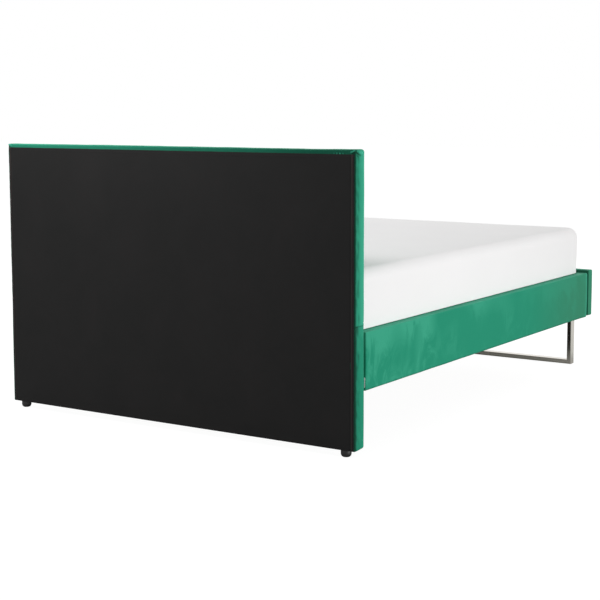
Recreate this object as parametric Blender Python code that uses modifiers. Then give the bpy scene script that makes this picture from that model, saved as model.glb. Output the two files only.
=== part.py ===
"""Upholstered bed with a padded headboard, side rails and footboard, a steel sled leg and a mattress.

Metres, +Z up. X runs across the bed and the headboard stands at +Y. The origin is on the floor under
the middle of the bed. Left is the -X side. The frame's sizes follow from the mattress and its gaps.
"""

import math

import bmesh
import bpy
from mathutils import Matrix, Vector

X_AXIS = Vector((1, 0, 0))
Y_AXIS = Vector((0, 1, 0))
Z_AXIS = Vector((0, 0, 1))
SIDES = {"left": -1, "right": 1}

# Between pieces that touch
CLEARANCE = 0.0003

# Mattress
MATTRESS_WIDTH = 1.500
MATTRESS_LENGTH = 2.000
MATTRESS_HEIGHT = 0.240
MATTRESS_EDGE = 0.065
MATTRESS_CROWN = 0.010
MATTRESS_SIDE_SWELL = 0.020
MATTRESS_END_SWELL = 0.008
MATTRESS_COVER = 0.004
MATTRESS_SIDE_GAP = 0.005
MATTRESS_END_GAP = 0.014

# Upholstery
VELVET = 0.0012
BOARD_EASING = 0.0045
COVER_SMALL_RADIUS = 0.004

# Side rails
RAIL_BOTTOM = 0.230
RAIL_HEIGHT = 0.2025
RAIL_BOARD = 0.030
RAIL_FOAM = 0.015
RAIL_SOFT_RADIUS = 0.008
RAIL_SLOT_LIP = 0.016
HEAD_JOINT_GAP = 0.006
FOOT_JOINT_GAP = 0.002

# Headboard
HEADBOARD_TOP = 1.060
HEADBOARD_SETBACK = 0.0033
HEADBOARD_LIP = 0.030
HEADBOARD_SOFT_RADIUS = 0.009
DUST_COVER = 0.0012
DUST_COVER_DROP = 0.014
DUST_COVER_MARGIN = 0.001
TIMBER = 0.038
STILE_WIDTH = 0.120
TOP_RAIL_HEIGHT = 0.060
MIDDLE_RAIL_HEIGHT = 0.110
BOTTOM_RAIL_HEIGHT = 0.060
PANEL = 0.004
PANEL_MARGIN = 0.001
HEADBOARD_FOAM = 0.020
GLIDE_RADIUS = 0.019
GLIDE_HEIGHT = 0.025
GLIDE_EDGE = 0.004
GLIDE_STEM_RADIUS = 0.003
GLIDE_STEM = 0.022
GLIDE_SIDE_INSET = 0.045
GLIDE_BACK_INSET = 0.0226

# Footboard
FOOTBOARD_RISE = 0.004
FOOTBOARD_HEIGHT = 0.2115
FOOTBOARD_OVERHANG = 0.0097
FOOTBOARD_BOARD = 0.030
FOOTBOARD_FOAM = 0.013
FOOTBOARD_SLOT_LIP = 0.015

# Sled leg
SLED_TUBE_WIDTH = 0.040
SLED_TUBE_DEPTH = 0.020
SLED_TUBE_WALL = 0.0015
SLED_TUBE_RADIUS = 0.0025
SLED_INSET = 0.061
SLED_LEAD = 0.0025
SLED_PLATE = 0.004
SLED_PLATE_LENGTH = 0.088
SLED_PLATE_MARGIN = 0.008

# Slatted base
LEDGE_TOP = 0.3837
LEDGE_LEG = 0.030
LEDGE_WALL = 0.0025
LEDGE_END_GAP = 0.010
BATTEN_WIDTH = 0.028
BATTEN_HEIGHT = 0.016
BATTEN_FLOOR = 0.004
BATTEN_BACK = 0.004
SLAT_COUNT = 12
SLAT_WIDTH = 0.090
SLAT_THICKNESS = 0.018
SLAT_EASING = 0.002
SLAT_END_MARGIN = 0.080

# Centre beam and its leg
BEAM_WIDTH = 0.030
BEAM_HEIGHT = 0.060
BEAM_WALL = 0.0015
BEAM_RADIUS = 0.002
BEAM_END_GAP = 0.003
HANGER_PLATE = 0.003
HANGER_DEPTH = 0.045
HANGER_EAR = 0.028
LEG_RADIUS = 0.019
LEG_WALL = 0.0015
LEG_PLATE = 0.004
LEG_PLATE_LENGTH = 0.090
LEG_NUT = 0.024
FOOT_PAD_RADIUS = 0.020
FOOT_PAD_HEIGHT = 0.010
FOOT_PAD_EDGE = 0.003
FOOT_STUD_RADIUS = 0.005
FOOT_STUD_TOP = 0.056
FOOT_TRAVEL = 0.010
FOOT_SPARE_GAP = 0.006

# Corner brackets and fasteners
BRACKET_LEG = 0.060
BRACKET_WALL = 0.003
BRACKET_HEIGHT = 0.116
BRACKET_LEDGE_GAP = 0.004
SCREW_HOLE_SPACING = 0.060
TAB_HEIGHT = 0.035
TAB_RISE = 0.006
TAB_SETBACK = 0.003
BOLT_RADIUS = 0.004
BOLT_HEAD_RADIUS = 0.007
BOLT_HEAD_HEIGHT = 0.0044
LONG_BOLT = 0.060
SHORT_BOLT = 0.030
BOLT_TIP = 0.002
FASTENER_SIDES = 12
ROUND_SIDES = 24

# Heights of the slatted base, from the ledge up
SLAT_BOTTOM = LEDGE_TOP + CLEARANCE + BATTEN_FLOOR + CLEARANCE
SLAT_TOP = SLAT_BOTTOM + SLAT_THICKNESS
MATTRESS_BOTTOM = SLAT_TOP + CLEARANCE
MATTRESS_TOP = MATTRESS_BOTTOM + MATTRESS_HEIGHT
BEAM_TOP = SLAT_BOTTOM - CLEARANCE
BEAM_BOTTOM = BEAM_TOP - BEAM_HEIGHT

# Places across the bed
RAIL_INNER = MATTRESS_WIDTH / 2 + MATTRESS_SIDE_GAP
RAIL_THICKNESS = 2 * VELVET + RAIL_BOARD + RAIL_FOAM + 3 * CLEARANCE
RAIL_OUTER = RAIL_INNER + RAIL_THICKNESS
RAIL_CENTRE = (RAIL_INNER + RAIL_OUTER) / 2
RAIL_TOP = RAIL_BOTTOM + RAIL_HEIGHT
HEADBOARD_HALF = RAIL_OUTER - HEADBOARD_SETBACK
FOOTBOARD_HALF = RAIL_OUTER + FOOTBOARD_OVERHANG
SLED_OUTER = HEADBOARD_HALF - SLED_INSET

# Places along the bed
WELL_LENGTH = MATTRESS_LENGTH + 2 * MATTRESS_END_GAP
HEADBOARD_THICKNESS = DUST_COVER + 2 * VELVET + TIMBER + PANEL + HEADBOARD_FOAM + 5 * CLEARANCE
FOOTBOARD_THICKNESS = 2 * VELVET + FOOTBOARD_BOARD + FOOTBOARD_FOAM + 3 * CLEARANCE
BED_LENGTH = HEADBOARD_THICKNESS + WELL_LENGTH + FOOTBOARD_THICKNESS
BACK = BED_LENGTH / 2
HEAD_FACE = BACK - HEADBOARD_THICKNESS
FOOT_FACE = HEAD_FACE - WELL_LENGTH
FRONT = FOOT_FACE - FOOTBOARD_THICKNESS
RAIL_HEAD_END = HEAD_FACE - HEAD_JOINT_GAP
RAIL_FOOT_END = FOOT_FACE + FOOT_JOINT_GAP
WELL_MIDDLE = (HEAD_FACE + FOOT_FACE) / 2
SLED_MIDDLE = FOOT_FACE - SLED_LEAD

# Layers inside the headboard, from the back forwards
HEAD_COVER_BACK = BACK - DUST_COVER - CLEARANCE
TIMBER_BACK = HEAD_COVER_BACK - VELVET - CLEARANCE
TIMBER_FRONT = TIMBER_BACK - TIMBER
PANEL_FRONT = TIMBER_FRONT - CLEARANCE - PANEL
SKIN = VELVET + CLEARANCE
HEADBOARD_BOTTOM = GLIDE_HEIGHT + CLEARANCE
CORE_BOTTOM = HEADBOARD_BOTTOM + SKIN
CORE_TOP = HEADBOARD_TOP - SKIN
CORE_HALF = HEADBOARD_HALF - SKIN

# Corner brackets
BRACKET_TOP = LEDGE_TOP - LEDGE_LEG - BRACKET_LEDGE_GAP
BRACKET_MIDDLE = BRACKET_TOP - BRACKET_HEIGHT / 2
BRACKET_HOLE = BRACKET_LEG * 0.6
SCREW_HEIGHTS = [BRACKET_MIDDLE + side * SCREW_HOLE_SPACING / 2 for side in SIDES.values()]

# Centre hangers and leg
HANGER_BOTTOM = BEAM_BOTTOM - CLEARANCE - HANGER_PLATE
HANGER_HALF = BEAM_WIDTH / 2 + CLEARANCE + HANGER_PLATE
HANGER_MIDDLE = (HANGER_BOTTOM + BEAM_TOP) / 2
LEG_TOP = BEAM_BOTTOM - CLEARANCE
LEG_BOTTOM = FOOT_PAD_HEIGHT + FOOT_TRAVEL + FOOT_SPARE_GAP

# Name: linear colour, roughness, metallic
FINISHES = {
    "velvet": ((0.037, 0.328, 0.198), 0.85, 0.0),
    "dust_cover": ((0.020, 0.020, 0.021), 0.95, 0.0),
    "timber": ((0.560, 0.400, 0.230), 0.65, 0.0),
    "plywood": ((0.480, 0.320, 0.180), 0.70, 0.0),
    "foam": ((0.780, 0.760, 0.620), 0.95, 0.0),
    "knit": ((0.840, 0.840, 0.850), 0.90, 0.0),
    "brushed_steel": ((0.560, 0.540, 0.510), 0.32, 1.0),
    "zinc": ((0.600, 0.610, 0.620), 0.40, 1.0),
    "black_steel": ((0.030, 0.030, 0.032), 0.45, 0.6),
    "black_plastic": ((0.015, 0.015, 0.016), 0.50, 0.0),
}


def clear_scene():
    for obj in list(bpy.data.objects):
        bpy.data.objects.remove(obj, do_unlink=True)
    for mesh in list(bpy.data.meshes):
        bpy.data.meshes.remove(mesh)


def new_collection(name):
    collection = bpy.data.collections.new(name)
    bpy.context.scene.collection.children.link(collection)
    return collection


def add_object(name, data, finish, collection):
    """Link an object that holds the data, with its own Principled material."""
    colour, roughness, metallic = FINISHES[finish]
    material = bpy.data.materials.new(name)
    material.use_nodes = True
    shader = material.node_tree.nodes["Principled BSDF"]
    shader.inputs["Base Color"].default_value = (*colour, 1.0)
    shader.inputs["Roughness"].default_value = roughness
    shader.inputs["Metallic"].default_value = metallic
    data.materials.append(material)
    obj = bpy.data.objects.new(name, data)
    collection.objects.link(obj)
    return obj


def mesh_from(bm, name):
    mesh = bpy.data.meshes.new(name)
    bm.to_mesh(mesh)
    bm.free()
    return mesh


def baked_mesh(obj):
    """The object's evaluated mesh, welded; the object itself is removed."""
    bpy.context.view_layer.update()
    evaluated = obj.evaluated_get(bpy.context.evaluated_depsgraph_get())
    mesh = bpy.data.meshes.new_from_object(evaluated)
    bpy.data.objects.remove(obj, do_unlink=True)
    bm = bmesh.new()
    bm.from_mesh(mesh)
    bmesh.ops.remove_doubles(bm, verts=bm.verts, dist=0.00001)
    bmesh.ops.recalc_face_normals(bm, faces=bm.faces)
    bm.to_mesh(mesh)
    bm.free()
    return mesh


def cube_mesh(size):
    """A cube stretched to size, centred on its own origin."""
    bm = bmesh.new()
    bmesh.ops.create_cube(bm, size=1.0, matrix=Matrix.Diagonal((*size, 1.0)))
    return bm


def on_face(vertex, size, facing):
    """Whether a vertex of the centred box lies on the box's face that faces that way."""
    return vertex.co.dot(facing) > size.dot(Vector(map(abs, facing))) / 2 - CLEARANCE


def weigh_edges(bm, size, soft, share):
    """Full bevel weight round the soft face, and a share of it on the box's other edges."""
    weights = bm.edges.layers.float.new("bevel_weight_edge")
    for edge in bm.edges:
        is_corner = edge.calc_face_angle(0.0) > math.radians(45)
        is_soft = soft is None or all(on_face(vertex, size, soft) for vertex in edge.verts)
        edge[weights] = is_corner * (1.0 if is_soft else share)


def round_edges(obj, radius, segments):
    bevel = obj.modifiers.new("Rounded edges", "BEVEL")
    bevel.width = radius
    bevel.segments = segments
    bevel.limit_method = "WEIGHT"


def block(name, low, high, finish, radius=0.0, soft=None, small_radius=0.0, segments=2):
    """A box between two corners. The edges round its soft face have the full radius, and the others
    the small one. With no soft face all its edges have the full radius."""
    low = Vector(low)
    high = Vector(high)
    size = high - low
    bm = cube_mesh(size)
    if radius:
        weigh_edges(bm, size, soft, small_radius / radius)
    obj = add_object(name, mesh_from(bm, name), finish, BED)
    obj.location = (low + high) / 2
    if radius:
        round_edges(obj, radius, segments)
    return obj


def skin(name, low, high, wall, lip, opening, soft, radius, segments=2):
    """A velvet cover: a rounded box of one wall thickness, open on one side inside a lip."""
    low = Vector(low)
    high = Vector(high)
    size = high - low
    bm = cube_mesh(size)
    open_face = [face for face in bm.faces if face.normal.dot(opening) > 0.5]
    bmesh.ops.inset_individual(bm, faces=open_face, thickness=lip, use_even_offset=True)
    bmesh.ops.delete(bm, geom=open_face, context="FACES_ONLY")
    weigh_edges(bm, size, soft, COVER_SMALL_RADIUS / radius)
    obj = add_object(name, mesh_from(bm, name), "velvet", BED)
    obj.location = (low + high) / 2
    round_edges(obj, radius, segments)
    solidify = obj.modifiers.new("Fabric", "SOLIDIFY")
    solidify.thickness = wall
    solidify.offset = -1
    solidify.use_even_offset = True
    return obj


def aimed(point, direction):
    """A place whose Z axis points along the direction."""
    return Matrix.Translation(point) @ direction.to_track_quat("Z", "Y").to_matrix().to_4x4()


def cut_away(target, bm, name):
    """Take the closed shapes in bm away from the target."""
    cutter = bpy.data.objects.new(name, mesh_from(bm, name))
    CUTTERS.objects.link(cutter)
    cutter.hide_render = True
    cutter.display_type = "WIRE"
    boolean = target.modifiers.new(name, "BOOLEAN")
    boolean.operation = "DIFFERENCE"
    boolean.solver = "EXACT"
    boolean.object = cutter


def drill(target, places, radius, depth):
    """Round holes, each from CLEARANCE behind its place to depth along the place's Z axis."""
    bm = bmesh.new()
    middle = Matrix.Translation((0, 0, depth / 2 - CLEARANCE))
    for place in places:
        bmesh.ops.create_cone(
            bm,
            cap_ends=True,
            segments=FASTENER_SIDES,
            radius1=radius + CLEARANCE,
            radius2=radius + CLEARANCE,
            depth=depth,
            matrix=place @ middle,
        )
    cut_away(target, bm, target.name + "_holes")


def turned(name, profile, finish, steps=ROUND_SIDES, closed=False):
    """A profile of (radius, height) points, down its outer side, turned about the Z axis."""
    mesh = bpy.data.meshes.new(name)
    edges = [(index, index + 1) for index in range(len(profile) - 1)]
    if closed:
        edges.append((len(profile) - 1, 0))
    mesh.from_pydata([(radius, 0, height) for radius, height in profile], edges, [])
    obj = add_object(name, mesh, finish, BED)
    screw = obj.modifiers.new("Turned", "SCREW")
    screw.axis = "Z"
    screw.angle = math.tau
    screw.steps = steps
    screw.render_steps = steps
    screw.use_merge_vertices = True
    screw.merge_threshold = 0.00005
    return obj


def rounded_rectangle(width, depth, radius, steps=2):
    """Points round a rectangle whose corners are arcs, anticlockwise."""
    points = []
    for quarter, (side_x, side_y) in enumerate(((1, 1), (-1, 1), (-1, -1), (1, -1))):
        centre_x = side_x * (width / 2 - radius)
        centre_y = side_y * (depth / 2 - radius)
        for step in range(steps + 1):
            angle = (quarter + step / steps) * math.pi / 2
            points.append((centre_x + radius * math.cos(angle), centre_y + radius * math.sin(angle)))
    return points


def prism_mesh(outlines, length):
    """Flat outlines, where an inner one is a hole, extruded to length about their own plane."""
    curve = bpy.data.curves.new("outline", "CURVE")
    curve.dimensions = "2D"
    curve.fill_mode = "BOTH"
    curve.extrude = length / 2
    for outline in outlines:
        spline = curve.splines.new("POLY")
        spline.points.add(len(outline) - 1)
        for point, (x, y) in zip(spline.points, outline):
            point.co = (x, y, 0, 1)
        spline.use_cyclic_u = True
    obj = bpy.data.objects.new("outline", curve)
    BED.objects.link(obj)
    return baked_mesh(obj)


def directed(middle, along, inward):
    """A place whose Z axis runs along, and whose Y axis points inward."""
    rotation = Matrix((inward.cross(along), inward, along)).transposed()
    return Matrix.Translation(middle) @ rotation.to_4x4()


def hollow_section(name, middle, along, inward, length, width, depth, wall, radius, mitred, finish):
    """Rectangular tube. A mitred end, -1 or 1, is longest on the face that looks away from inward."""
    outer = rounded_rectangle(width, depth, radius)
    inner = rounded_rectangle(width - 2 * wall, depth - 2 * wall, radius - wall)
    mesh = prism_mesh([outer, inner], length)
    for vertex in mesh.vertices:
        end = math.copysign(1, vertex.co.z)
        if end in mitred:
            vertex.co.z -= end * (vertex.co.y + depth / 2)
    obj = add_object(name, mesh, finish, BED)
    obj.matrix_world = directed(middle, along, inward)
    return obj


def angle_outline(leg, wall):
    return [(0, 0), (leg, 0), (leg, wall), (wall, wall), (wall, leg), (0, leg)]


def place_on_axes(obj, corner, across, up):
    """Put an angle's corner at the corner, with its two legs along across and up."""
    rotation = Matrix((across, up, across.cross(up))).transposed()
    obj.matrix_world = Matrix.Translation(corner) @ rotation.to_4x4()


def evenly(first, last, count):
    return [first + (last - first) * index / (count - 1) for index in range(count)]


def joined(target, addition):
    """Fuse the addition into the target, and keep it hidden as the shape that was added."""
    boolean = target.modifiers.new("Welded", "BOOLEAN")
    boolean.operation = "UNION"
    boolean.solver = "EXACT"
    boolean.object = addition
    addition.users_collection[0].objects.unlink(addition)
    CUTTERS.objects.link(addition)
    addition.hide_render = True
    addition.display_type = "WIRE"


# Headboard


def headboard_frame():
    """Two stiles with three rails between them, behind the panel."""
    stiles = []
    inner = CORE_HALF - STILE_WIDTH
    for side_name, side in SIDES.items():
        x_range = sorted((side * inner, side * CORE_HALF))
        low = (x_range[0], TIMBER_FRONT, CORE_BOTTOM)
        high = (x_range[1], TIMBER_BACK, CORE_TOP)
        stiles.append(block(f"headboard_stile_{side_name}", low, high, "timber", BOARD_EASING))
    span = inner - CLEARANCE
    heights = {
        "headboard_top_rail": (CORE_TOP - TOP_RAIL_HEIGHT, CORE_TOP),
        "headboard_middle_rail": (
            HANGER_MIDDLE - MIDDLE_RAIL_HEIGHT / 2,
            HANGER_MIDDLE + MIDDLE_RAIL_HEIGHT / 2,
        ),
        "headboard_bottom_rail": (CORE_BOTTOM, CORE_BOTTOM + BOTTOM_RAIL_HEIGHT),
    }
    for name, (bottom, top) in heights.items():
        block(name, (-span, TIMBER_FRONT, bottom), (span, TIMBER_BACK, top), "timber", BOARD_EASING)
    return stiles


def headboard_padding():
    """Plywood over the timber, and foam over the plywood."""
    half = CORE_HALF - PANEL_MARGIN
    panel = block(
        "headboard_panel",
        (-half, PANEL_FRONT, CORE_BOTTOM + PANEL_MARGIN),
        (half, PANEL_FRONT + PANEL, CORE_TOP - PANEL_MARGIN),
        "plywood",
    )
    foam = block(
        "headboard_foam",
        (-CORE_HALF, HEAD_FACE + SKIN, CORE_BOTTOM),
        (CORE_HALF, PANEL_FRONT - CLEARANCE, CORE_TOP),
        "foam",
        HEADBOARD_SOFT_RADIUS,
        -Y_AXIS,
        BOARD_EASING,
        3,
    )
    return panel, foam


def headboard_covers():
    """Velvet that wraps the front, the edges and a lip of the back, and the dust cover over it."""
    velvet = skin(
        "headboard_cover",
        (-HEADBOARD_HALF, HEAD_FACE, HEADBOARD_BOTTOM),
        (HEADBOARD_HALF, HEAD_COVER_BACK, HEADBOARD_TOP),
        VELVET,
        HEADBOARD_LIP,
        Y_AXIS,
        -Y_AXIS,
        HEADBOARD_SOFT_RADIUS,
        3,
    )
    block(
        "headboard_dust_cover",
        (-HEADBOARD_HALF + DUST_COVER_MARGIN, BACK - DUST_COVER, HEADBOARD_BOTTOM + DUST_COVER_MARGIN),
        (HEADBOARD_HALF - DUST_COVER_MARGIN, BACK, HEADBOARD_TOP - DUST_COVER_DROP),
        "dust_cover",
    )
    return velvet


def glide_places():
    """Where each glide's stem goes up into a stile."""
    y = BACK - GLIDE_BACK_INSET
    return [
        aimed(Vector((side * (HEADBOARD_HALF - GLIDE_SIDE_INSET), y, GLIDE_HEIGHT)), Z_AXIS)
        for side in SIDES.values()
    ]


def glides():
    """Round plastic feet under the headboard, each with a stem pressed up into the stile."""
    profile = [
        (0, GLIDE_HEIGHT + GLIDE_STEM),
        (GLIDE_STEM_RADIUS, GLIDE_HEIGHT + GLIDE_STEM),
        (GLIDE_STEM_RADIUS, GLIDE_HEIGHT),
        (GLIDE_RADIUS, GLIDE_HEIGHT),
        (GLIDE_RADIUS, GLIDE_EDGE),
        (GLIDE_RADIUS - GLIDE_EDGE * 0.3, GLIDE_EDGE * 0.3),
        (GLIDE_RADIUS - GLIDE_EDGE, 0),
        (0, 0),
    ]
    for side_name, place in zip(SIDES, glide_places()):
        glide = turned(f"glide_{side_name}", profile, "black_plastic")
        glide.location = (place.translation.x, place.translation.y, 0)


# Side rails and footboard


def side_rail(side_name, side):
    """A board with foam on its outer face in a velvet sleeve, slotted underneath where it is stapled."""

    def across(inner, outer, low_y, high_y, bottom, top):
        x_range = sorted((side * inner, side * outer))
        return (x_range[0], low_y, bottom), (x_range[1], high_y, top)

    ends = (RAIL_FOOT_END + SKIN, RAIL_HEAD_END - SKIN)
    heights = (RAIL_BOTTOM + SKIN, RAIL_TOP - SKIN)
    board_outer = RAIL_INNER + SKIN + RAIL_BOARD
    board_corners = across(RAIL_INNER + SKIN, board_outer, *ends, *heights)
    foam_corners = across(board_outer + CLEARANCE, RAIL_OUTER - SKIN, *ends, *heights)
    cover_corners = across(RAIL_INNER, RAIL_OUTER, RAIL_FOOT_END, RAIL_HEAD_END, RAIL_BOTTOM, RAIL_TOP)
    block(f"rail_board_{side_name}", *board_corners, "timber", BOARD_EASING)
    block(
        f"rail_foam_{side_name}",
        *foam_corners,
        "foam",
        RAIL_SOFT_RADIUS,
        side * X_AXIS,
        BOARD_EASING,
    )
    skin(
        f"rail_cover_{side_name}",
        *cover_corners,
        VELVET,
        RAIL_SLOT_LIP,
        -Z_AXIS,
        side * X_AXIS,
        RAIL_SOFT_RADIUS,
    )


def footboard():
    """A board with foam on its front in a velvet sleeve, slotted underneath where it is stapled."""
    bottom = RAIL_BOTTOM + FOOTBOARD_RISE
    top = bottom + FOOTBOARD_HEIGHT
    half = FOOTBOARD_HALF - SKIN
    board_front = FOOT_FACE - SKIN - FOOTBOARD_BOARD
    board = block(
        "footboard_board",
        (-half, board_front, bottom + SKIN),
        (half, FOOT_FACE - SKIN, top - SKIN),
        "timber",
        BOARD_EASING,
    )
    block(
        "footboard_foam",
        (-half, FRONT + SKIN, bottom + SKIN),
        (half, board_front - CLEARANCE, top - SKIN),
        "foam",
        RAIL_SOFT_RADIUS,
        -Y_AXIS,
        BOARD_EASING,
    )
    cover = skin(
        "footboard_cover",
        (-FOOTBOARD_HALF, FRONT, bottom),
        (FOOTBOARD_HALF, FOOT_FACE, top),
        VELVET,
        FOOTBOARD_SLOT_LIP,
        -Z_AXIS,
        -Y_AXIS,
        RAIL_SOFT_RADIUS,
    )
    return board, cover


# Sled leg


def sled_leg():
    """A floor bar with an upright at each end, mitred together, under a plate at each side."""
    section = (SLED_TUBE_WIDTH, SLED_TUBE_DEPTH, SLED_TUBE_WALL, SLED_TUBE_RADIUS)
    middle = Vector((0, SLED_MIDDLE, SLED_TUBE_DEPTH / 2))
    hollow_section(
        "sled_floor_bar", middle, X_AXIS, Z_AXIS, 2 * SLED_OUTER, *section, (-1, 1), "brushed_steel"
    )
    plate_top = RAIL_BOTTOM - CLEARANCE
    mitre_gap = CLEARANCE * math.sqrt(2)
    height = plate_top - SLED_PLATE - CLEARANCE - mitre_gap
    plate_foot = SLED_MIDDLE - SLED_TUBE_WIDTH / 2
    for side_name, side in SIDES.items():
        x = side * (SLED_OUTER - SLED_TUBE_DEPTH / 2)
        middle = Vector((x, SLED_MIDDLE, mitre_gap + height / 2))
        hollow_section(
            f"sled_upright_{side_name}",
            middle,
            Z_AXIS,
            -side * X_AXIS,
            height,
            *section,
            (-1,),
            "brushed_steel",
        )
        x_range = sorted((side * (SLED_OUTER - SLED_TUBE_DEPTH), side * (RAIL_OUTER - SLED_PLATE_MARGIN)))
        block(
            f"sled_plate_{side_name}",
            (x_range[0], plate_foot, plate_top - SLED_PLATE),
            (x_range[1], plate_foot + SLED_PLATE_LENGTH, plate_top),
            "brushed_steel",
        )


# Slatted base


def slat_rows():
    """The middle of each slat along the bed."""
    return evenly(FOOT_FACE + SLAT_END_MARGIN, HEAD_FACE - SLAT_END_MARGIN, SLAT_COUNT)


def ledge(side_name, side):
    """A steel angle along the rail, whose flange carries the batten."""
    outline = angle_outline(LEDGE_LEG, LEDGE_WALL)
    length = RAIL_HEAD_END - RAIL_FOOT_END - 2 * LEDGE_END_GAP
    obj = add_object(f"slat_ledge_{side_name}", prism_mesh([outline], length), "zinc", BED)
    middle_y = (RAIL_HEAD_END + RAIL_FOOT_END) / 2
    corner = Vector((side * (RAIL_INNER - CLEARANCE), middle_y, LEDGE_TOP))
    place_on_axes(obj, corner, -side * X_AXIS, -Z_AXIS)


def batten(side_name, side):
    """A strip on the ledge with a pocket for the end of each slat."""
    outer = RAIL_INNER - CLEARANCE
    x_range = sorted((side * outer, side * (outer - BATTEN_WIDTH)))
    bottom = LEDGE_TOP + CLEARANCE
    low = (x_range[0], RAIL_FOOT_END + LEDGE_END_GAP, bottom)
    high = (x_range[1], RAIL_HEAD_END - LEDGE_END_GAP, bottom + BATTEN_HEIGHT)
    strip = block(f"slat_batten_{side_name}", low, high, "black_plastic")
    pockets = bmesh.new()
    size = (2 * (BATTEN_WIDTH - BATTEN_BACK), SLAT_WIDTH + 2 * CLEARANCE, BATTEN_HEIGHT * 2)
    x = side * (outer - BATTEN_WIDTH)
    z = bottom + BATTEN_FLOOR + BATTEN_HEIGHT
    for y in slat_rows():
        place = Matrix.Translation((x, y, z)) @ Matrix.Diagonal((*size, 1.0))
        bmesh.ops.create_cube(pockets, size=1.0, matrix=place)
    cut_away(strip, pockets, strip.name + "_pockets")


def slats():
    """Flat slats across the bed, each end in a pocket."""
    half = RAIL_INNER - CLEARANCE - BATTEN_BACK - CLEARANCE
    for number, y in enumerate(slat_rows(), start=1):
        low = (-half, y - SLAT_WIDTH / 2, SLAT_BOTTOM)
        high = (half, y + SLAT_WIDTH / 2, SLAT_TOP)
        block(f"slat_{number:02d}", low, high, "timber", SLAT_EASING)


# Centre beam


def centre_beam():
    """Rectangular tube from hanger to hanger, standing on edge under the slats."""
    length = WELL_LENGTH - 2 * (HANGER_PLATE + BEAM_END_GAP)
    middle = Vector((0, WELL_MIDDLE, BEAM_TOP - BEAM_HEIGHT / 2))
    section = (BEAM_WIDTH, BEAM_HEIGHT, BEAM_WALL, BEAM_RADIUS)
    hollow_section("centre_beam", middle, Y_AXIS, Z_AXIS, length, *section, (), "black_steel")


def hanger(name, face, facing):
    """A stirrup that the beam drops into, on a plate against the headboard or footboard."""
    inner = HANGER_HALF - HANGER_PLATE
    height = BEAM_TOP - HANGER_BOTTOM
    outline = [
        (-HANGER_HALF, 0),
        (HANGER_HALF, 0),
        (HANGER_HALF, height),
        (inner, height),
        (inner, HANGER_PLATE),
        (-inner, HANGER_PLATE),
        (-inner, height),
        (-HANGER_HALF, height),
    ]
    stirrup = add_object(name + "_stirrup", prism_mesh([outline], HANGER_DEPTH), "black_steel", BED)
    middle = Vector((0, face + facing * (CLEARANCE + HANGER_DEPTH / 2), HANGER_BOTTOM))
    stirrup.matrix_world = directed(middle, -facing * Y_AXIS, Z_AXIS)
    near = face + facing * CLEARANCE
    far = near + facing * HANGER_PLATE
    y_range = sorted((near, far))
    plate = block(
        name,
        (-HANGER_HALF - HANGER_EAR, y_range[0], HANGER_BOTTOM),
        (HANGER_HALF + HANGER_EAR, y_range[1], BEAM_TOP),
        "black_steel",
    )
    joined(plate, stirrup)
    ear_middle = HANGER_HALF + HANGER_EAR / 2
    holes = [
        aimed(Vector((side * ear_middle, far, HANGER_MIDDLE)), -facing * Y_AXIS)
        for side in SIDES.values()
    ]
    drill(plate, holes, BOLT_RADIUS, HANGER_PLATE * 2)


def centre_leg():
    """A round tube under a plate that stands against the beam, bored at the foot for the stud."""
    tube_top = LEG_TOP - LEG_PLATE / 2
    bore = FOOT_STUD_RADIUS + CLEARANCE
    profile = [
        (LEG_RADIUS, tube_top),
        (LEG_RADIUS, LEG_BOTTOM),
        (bore, LEG_BOTTOM),
        (bore, LEG_BOTTOM + LEG_NUT),
        (LEG_RADIUS - LEG_WALL, LEG_BOTTOM + LEG_NUT),
        (LEG_RADIUS - LEG_WALL, tube_top),
    ]
    tube = turned("centre_leg_tube", profile, "black_steel", closed=True)
    tube.location = (0, WELL_MIDDLE, 0)
    plate = block(
        "centre_leg",
        (-LEG_RADIUS, WELL_MIDDLE - LEG_PLATE_LENGTH / 2, LEG_TOP - LEG_PLATE),
        (LEG_RADIUS, WELL_MIDDLE + LEG_PLATE_LENGTH / 2, LEG_TOP),
        "black_steel",
    )
    joined(plate, tube)


def levelling_foot():
    """A pad on a stud. The foot's origin is on the floor, on its screw axis."""
    profile = [
        (0, FOOT_STUD_TOP),
        (FOOT_STUD_RADIUS, FOOT_STUD_TOP),
        (FOOT_STUD_RADIUS, FOOT_PAD_HEIGHT),
        (FOOT_PAD_RADIUS - FOOT_PAD_EDGE, FOOT_PAD_HEIGHT),
        (FOOT_PAD_RADIUS, FOOT_PAD_HEIGHT - FOOT_PAD_EDGE),
        (FOOT_PAD_RADIUS, 0),
        (0, 0),
    ]
    foot = turned("levelling_foot", profile, "black_plastic")
    foot.location = (0, WELL_MIDDLE, 0)


# Mattress


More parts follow.
